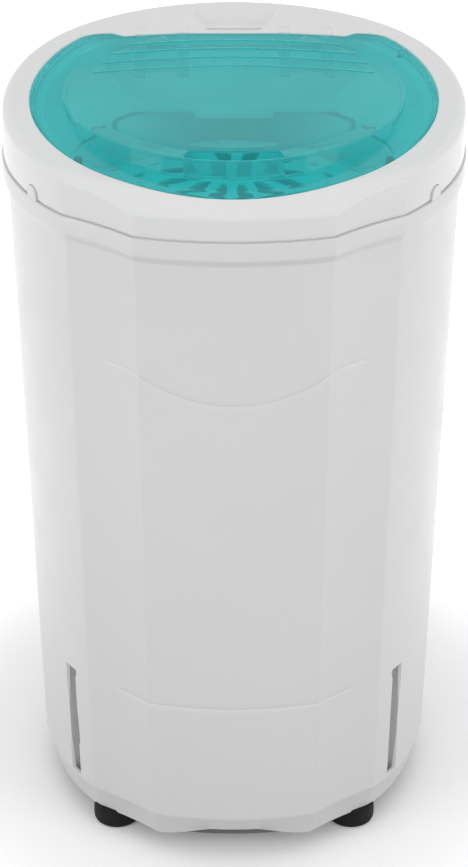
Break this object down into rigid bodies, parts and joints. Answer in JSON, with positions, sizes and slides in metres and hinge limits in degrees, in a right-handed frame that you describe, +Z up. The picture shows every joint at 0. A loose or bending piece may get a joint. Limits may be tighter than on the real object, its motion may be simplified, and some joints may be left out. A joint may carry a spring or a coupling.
{
  "type": "laundry spin dryer",
  "caption": "Upright round spin dryer for laundry, white cabinet on four black rubber feet, translucent teal lid hinged at the back over a spinning basket.",
  "frame": {"origin": "on the floor under the middle of the dryer's outline", "axes": "+Z up along the basket's spin axis, front with the finger grip towards -Y, hinge at the back along X"},
  "size_m": [0.3598, 0.3536, 0.635],
  "materials": {
    "body_white": "satin",
    "ring_white": "satin",
    "tray_grey": "matt",
    "rubber_black": "matt",
    "steel": "bright",
    "zinc_steel": "zinc plated",
    "lid_teal": "translucent gloss",
    "plastic_black": "matt",
    "plunger_red": "matt",
    "guard_white": "satin",
    "tub_white": "satin",
    "hose_grey": "matt",
    "spout_grey": "satin",
    "basket_white": "satin",
    "plate_white": "satin",
    "cast_grey": "cast",
    "iron_dark": "machined",
    "winding_copper": "varnished copper wire",
    "lining_brown": "matt"
  },
  "bodies": {
    "body": {"cabinet": "body_white", "top_ring": "ring_white", "base_tray": "tray_grey", "foot_front_left": "rubber_black", "foot_front_right": "rubber_black", "foot_rear_left": "rubber_black", "foot_rear_right": "rubber_black", "foot_screws": "steel", "ring_screws": "steel", "lid_buffers": "rubber_black", "lid_switch": "plastic_black", "splash_guard": "guard_white", "guard_screws": "steel", "tub": "tub_white", "tub_gasket": "rubber_black", "shaft_seal": "rubber_black", "drain_hose": "hose_grey", "drain_spout": "spout_grey", "hose_clip": "steel", "motor_plate": "zinc_steel", "isolator_1": "rubber_black", "isolator_2": "rubber_black", "isolator_3": "rubber_black", "mount_bolts": "steel", "motor_upper_cover": "cast_grey", "motor_lower_cover": "cast_grey", "stator": "iron_dark", "winding_upper": "winding_copper", "winding_lower": "winding_copper", "bearing_upper": "steel", "bearing_lower": "steel", "motor_bolts": "steel", "brake_pivot": "steel", "brake_spring": "steel", "brake_cable": "rubber_black", "capacitor": "spout_grey", "capacitor_clip": "zinc_steel", "terminal_block": "guard_white", "cord_gland": "rubber_black"},
    "lid": {"lid": "lid_teal", "hinge_arm_left": "lid_teal", "hinge_arm_right": "lid_teal", "hinge_pin_left": "steel", "hinge_pin_right": "steel", "lid_striker": "lid_teal"},
    "spinner": {"basket": "basket_white", "balance_ring": "basket_white", "basket_hub": "cast_grey", "hub_nut": "steel", "drive_shaft": "steel", "rotor": "iron_dark", "motor_fan": "plastic_black", "brake_drum": "iron_dark"},
    "plate": {"inner_plate": "plate_white"},
    "brake": {"brake_arm": "zinc_steel", "brake_lining": "lining_brown"},
    "plunger": {"switch_plunger": "plunger_red"}
  },
  "joints": [
    {"name": "lid_hinge", "type": "hinge", "parent": "body", "child": "lid", "pos_m": [0, 0.10875, 0.631], "axis": [-1, 0, 0], "range_deg": [0, 98]},
    {"name": "spin", "type": "hinge", "parent": "body", "child": "spinner", "pos_m": [0, -0.00325, 0.4], "axis": [0, 0, 1], "continuous": true},
    {"name": "plate_lift", "type": "slide", "parent": "spinner", "child": "plate", "axis": [0, 0, 1], "range_m": [0, 0.012]},
    {"name": "brake_swing", "type": "hinge", "parent": "body", "child": "brake", "pos_m": [0.058, -0.04525, 0.205], "axis": [0, 0, 1], "range_deg": [0, 2.8]},
    {"name": "plunger_rise", "type": "slide", "parent": "body", "child": "plunger", "axis": [0, 0, 1], "range_m": [0, 0.003]}
  ],
  "couplings": [
    {"joint": "brake_swing", "follows": "lid_hinge", "ratio": 0.028571},
    {"joint": "plunger_rise", "follows": "lid_hinge", "m_per_rad": 0.001754}
  ]
}
